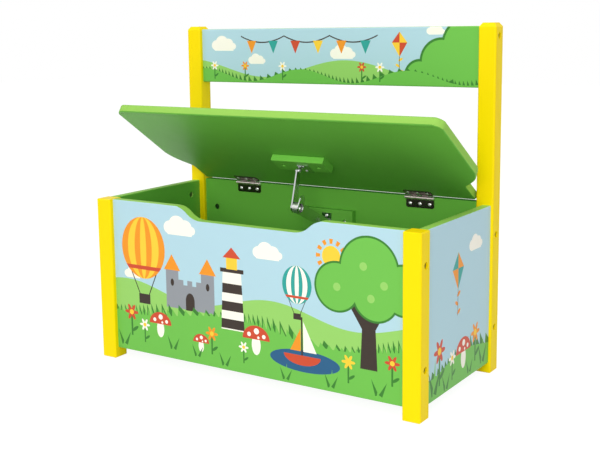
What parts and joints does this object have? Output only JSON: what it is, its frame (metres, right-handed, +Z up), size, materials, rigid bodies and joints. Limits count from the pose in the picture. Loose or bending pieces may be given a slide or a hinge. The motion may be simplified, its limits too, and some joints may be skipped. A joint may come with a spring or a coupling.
{
  "type": "toy box bench",
  "caption": "Wooden toy box on square posts, with a hinged seat lid, a backrest rail, a scooped front panel and a friction lid stay.",
  "frame": {"origin": "on the floor, under the middle of the box", "axes": "+X to the right of someone facing the front, +Y towards the back, +Z up"},
  "size_m": [0.604, 0.28, 0.554],
  "materials": {
    "yellow_paint": "satin paint on solid wood",
    "sky_print": "printed and lacquered board",
    "green_paint": "satin paint on board",
    "dark_plating": "dark plated steel",
    "zinc_plating": "bright plated steel",
    "black_plastic": "moulded",
    "bare_wood": "bare"
  },
  "bodies": {
    "frame": {"post_front_left": "yellow_paint", "post_front_right": "yellow_paint", "post_rear_left": "yellow_paint", "post_rear_right": "yellow_paint", "front_panel": "sky_print", "side_panel_left": "sky_print", "side_panel_right": "sky_print", "back_panel": "green_paint", "bottom_panel": "green_paint", "backrest_rail": "sky_print", "joint_bolts": "dark_plating", "barrel_nuts": "zinc_plating", "wooden_dowels": "bare_wood", "back_leaf_left": "dark_plating", "back_leaf_right": "dark_plating", "back_leaf_screws": "dark_plating", "hinge_pin_left": "dark_plating", "hinge_pin_right": "dark_plating", "back_stay_block": "green_paint", "back_block_screws": "zinc_plating", "base_bracket": "zinc_plating", "base_bracket_screws": "zinc_plating", "lower_pivot_pin": "zinc_plating"},
    "lid": {"lid": "green_paint", "lid_stay_block": "green_paint", "lid_block_screws": "zinc_plating", "lid_stay_bracket": "zinc_plating", "lid_bracket_screws": "zinc_plating", "upper_pivot_pin": "zinc_plating", "lid_leaf_left": "dark_plating", "lid_leaf_right": "dark_plating", "lid_leaf_screws": "dark_plating"},
    "stay_lower": {"lower_arm": "zinc_plating", "elbow_housing": "zinc_plating", "friction_washers": "black_plastic", "disc_springs": "zinc_plating", "elbow_pin": "zinc_plating"},
    "stay_upper": {"upper_arm": "zinc_plating"}
  },
  "joints": [
    {"name": "lid_hinge", "type": "hinge", "parent": "frame", "child": "lid", "pos_m": [0, 0.1145, 0.274], "axis": [-1, 0, 0], "range_deg": [-35.1, 28]},
    {"name": "stay_lower_pivot", "type": "hinge", "parent": "frame", "child": "stay_lower", "pos_m": [0, 0.0955, 0.219], "axis": [-1, 0, 0], "range_deg": [-37.7, 30]},
    {"name": "stay_upper_pivot", "type": "hinge", "parent": "lid", "child": "stay_upper", "pos_m": [0, 0.02576, 0.31756], "axis": [-1, 0, 0], "range_deg": [-27.2, 34.2]}
  ],
  "couplings": [
    {"joint": "stay_lower_pivot", "follows": "lid_hinge", "ratio": 1.0689},
    {"joint": "stay_upper_pivot", "follows": "lid_hinge", "ratio": -0.9694}
  ]
}
